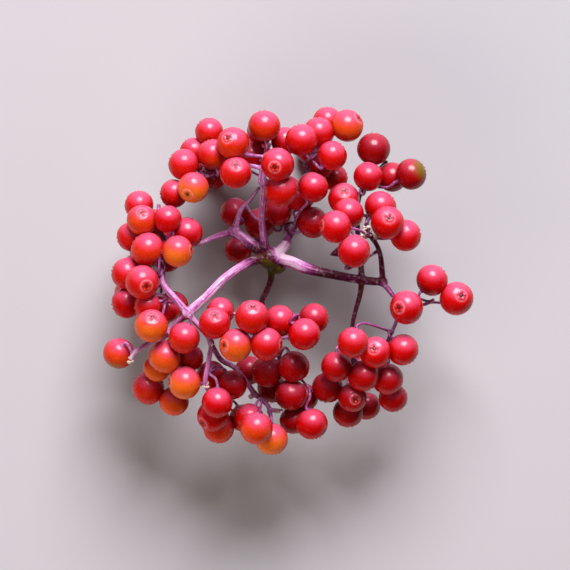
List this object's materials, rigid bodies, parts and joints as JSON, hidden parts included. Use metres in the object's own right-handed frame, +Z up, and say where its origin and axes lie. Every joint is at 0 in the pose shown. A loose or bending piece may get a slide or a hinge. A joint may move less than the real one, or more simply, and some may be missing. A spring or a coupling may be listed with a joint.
{
  "type": "red elderberry cluster",
  "caption": "Flat-domed cluster of small round red berries on a branching lilac stem, as picked, lying on its back with the open face up.",
  "frame": {"origin": "on the surface that the cluster lies on, under the middle of its box", "axes": "+Z up out of the open face of the cluster, +X along its longest way, to the right in the picture, +Y up the face"},
  "size_m": [0.0555, 0.0524, 0.0264],
  "materials": {
    "berry_skin": "glossy",
    "stem": "satin"
  },
  "bodies": {
    "root": {"berries_bottom": "berry_skin", "berries_heart": "berry_skin", "berries_heart_b": "berry_skin", "berries_left_lower": "berry_skin", "berries_left_lower_b": "berry_skin", "berries_left_middle": "berry_skin", "berries_left_stray": "berry_skin", "berries_left_upper": "berry_skin", "berries_left_upper_b": "berry_skin", "berries_lower_back": "berry_skin", "berries_lower_centre": "berry_skin", "berries_lower_left": "berry_skin", "berries_lower_right": "berry_skin", "berries_lower_right_b": "berry_skin", "berries_right_inner": "berry_skin", "berries_right_outer": "berry_skin", "berries_right_top": "berry_skin", "berries_right_upper": "berry_skin", "berries_right_upper_b": "berry_skin", "berries_top": "berry_skin", "berries_top_b": "berry_skin", "berries_top_c": "berry_skin", "berries_top_left": "berry_skin", "berries_top_right": "berry_skin", "berries_top_right_b": "berry_skin", "stem": "stem"}
  },
  "joints": []
}
